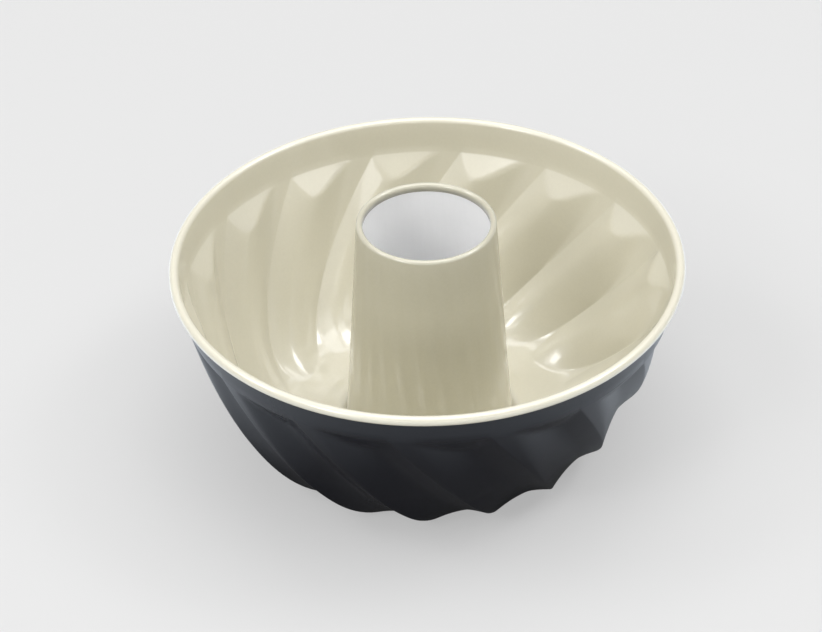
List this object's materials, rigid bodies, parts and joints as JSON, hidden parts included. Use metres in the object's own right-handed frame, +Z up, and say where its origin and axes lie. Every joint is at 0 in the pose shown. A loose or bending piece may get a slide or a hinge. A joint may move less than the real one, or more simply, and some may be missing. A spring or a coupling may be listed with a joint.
{
  "type": "gugelhupf pan",
  "caption": "Round ring cake pan with swirling flutes, a rolled rim and an open tapered centre tube; cream inside, anthracite outside.",
  "frame": {"origin": "centre of the pan on the surface that it stands on", "axes": "+Z up along the axis of the rim and the centre tube, towards the open mouth"},
  "size_m": [0.2198, 0.2198, 0.1071],
  "materials": {
    "anthracite_coating": "satin baked coating on steel sheet, outer side of the pan",
    "cream_coating": "glossy baked non-stick coating on steel sheet, inner side of the pan",
    "bore_steel": "bright bare steel inside the centre tube"
  },
  "bodies": {
    "root": {"fluted_shell": "anthracite_coating", "centre_tube": "cream_coating"}
  },
  "joints": []
}
